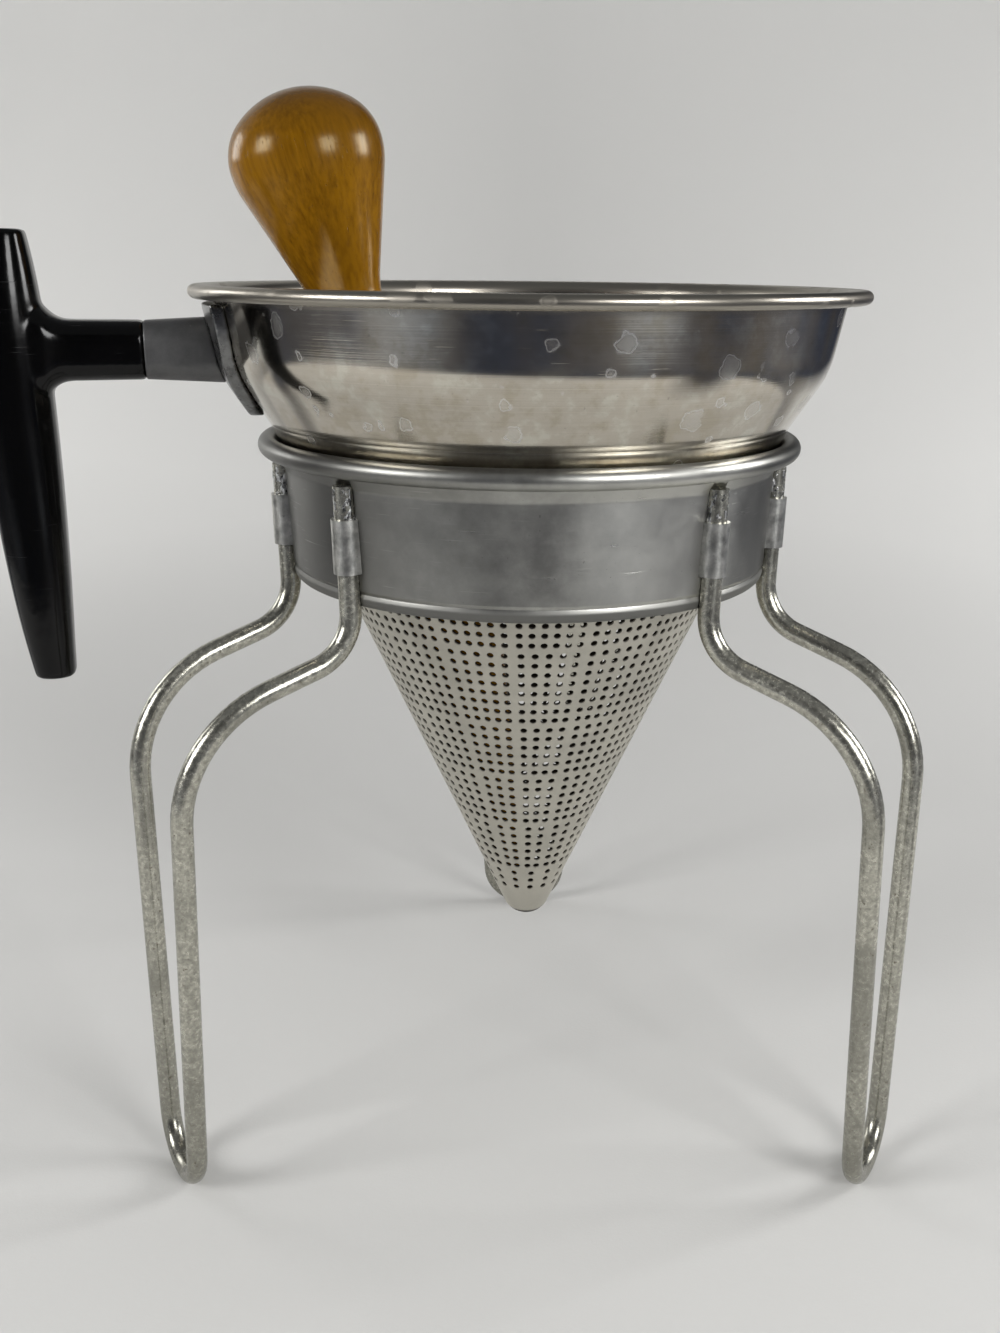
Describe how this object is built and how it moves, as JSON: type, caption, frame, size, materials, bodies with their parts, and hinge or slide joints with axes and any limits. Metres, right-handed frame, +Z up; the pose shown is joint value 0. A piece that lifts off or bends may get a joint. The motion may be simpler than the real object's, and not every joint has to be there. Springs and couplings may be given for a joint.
{
  "type": "potato ricer",
  "caption": "Cone-sieve food ricer: handled hopper with a perforated cone, set in a wire tripod stand, with a pear-knobbed wooden pestle.",
  "frame": {"origin": "on the surface it stands on, under the sieve axis", "axes": "+Z up along the sieve axis; the handle points towards -X and a little towards -Y, which is the front; one leg points back along +Y"},
  "size_m": [0.2489, 0.2045, 0.2912],
  "materials": {
    "bowl": "polished, fine turned lines, water spots",
    "sieve": "dull matte, unpolished",
    "band": "satin with light scratches",
    "wire": "tinned, mottled with small dark specks",
    "bracket": "polished casting",
    "rivet": "satin",
    "ferrule": "dull grey",
    "grip": "glossy black moulding",
    "screw": "satin",
    "washer": "satin",
    "pestle": "amber varnish, semi-gloss"
  },
  "bodies": {
    "stand": {"stand_ring": "band", "leg_front_left": "wire", "leg_front_right": "wire", "leg_back": "wire"},
    "strainer": {"hopper_bowl": "bowl", "sieve_cone": "sieve", "handle_bracket": "bracket", "bracket_rivet_front": "rivet", "bracket_rivet_rear": "rivet", "bracket_rivet_low": "rivet", "handle_ferrule": "ferrule", "handle_grip": "grip", "handle_screw": "screw", "handle_lock_washer": "washer"},
    "pestle": {"pestle": "pestle"}
  },
  "joints": [
    {"name": "strainer_lift", "type": "slide", "parent": "stand", "child": "strainer", "axis": [0, 0, 1], "range_m": [0, 0.16]},
    {"name": "pestle_sweep", "type": "hinge", "parent": "strainer", "child": "pestle", "pos_m": [0, 0, 0], "axis": [0, 0, 1], "continuous": true}
  ]
}
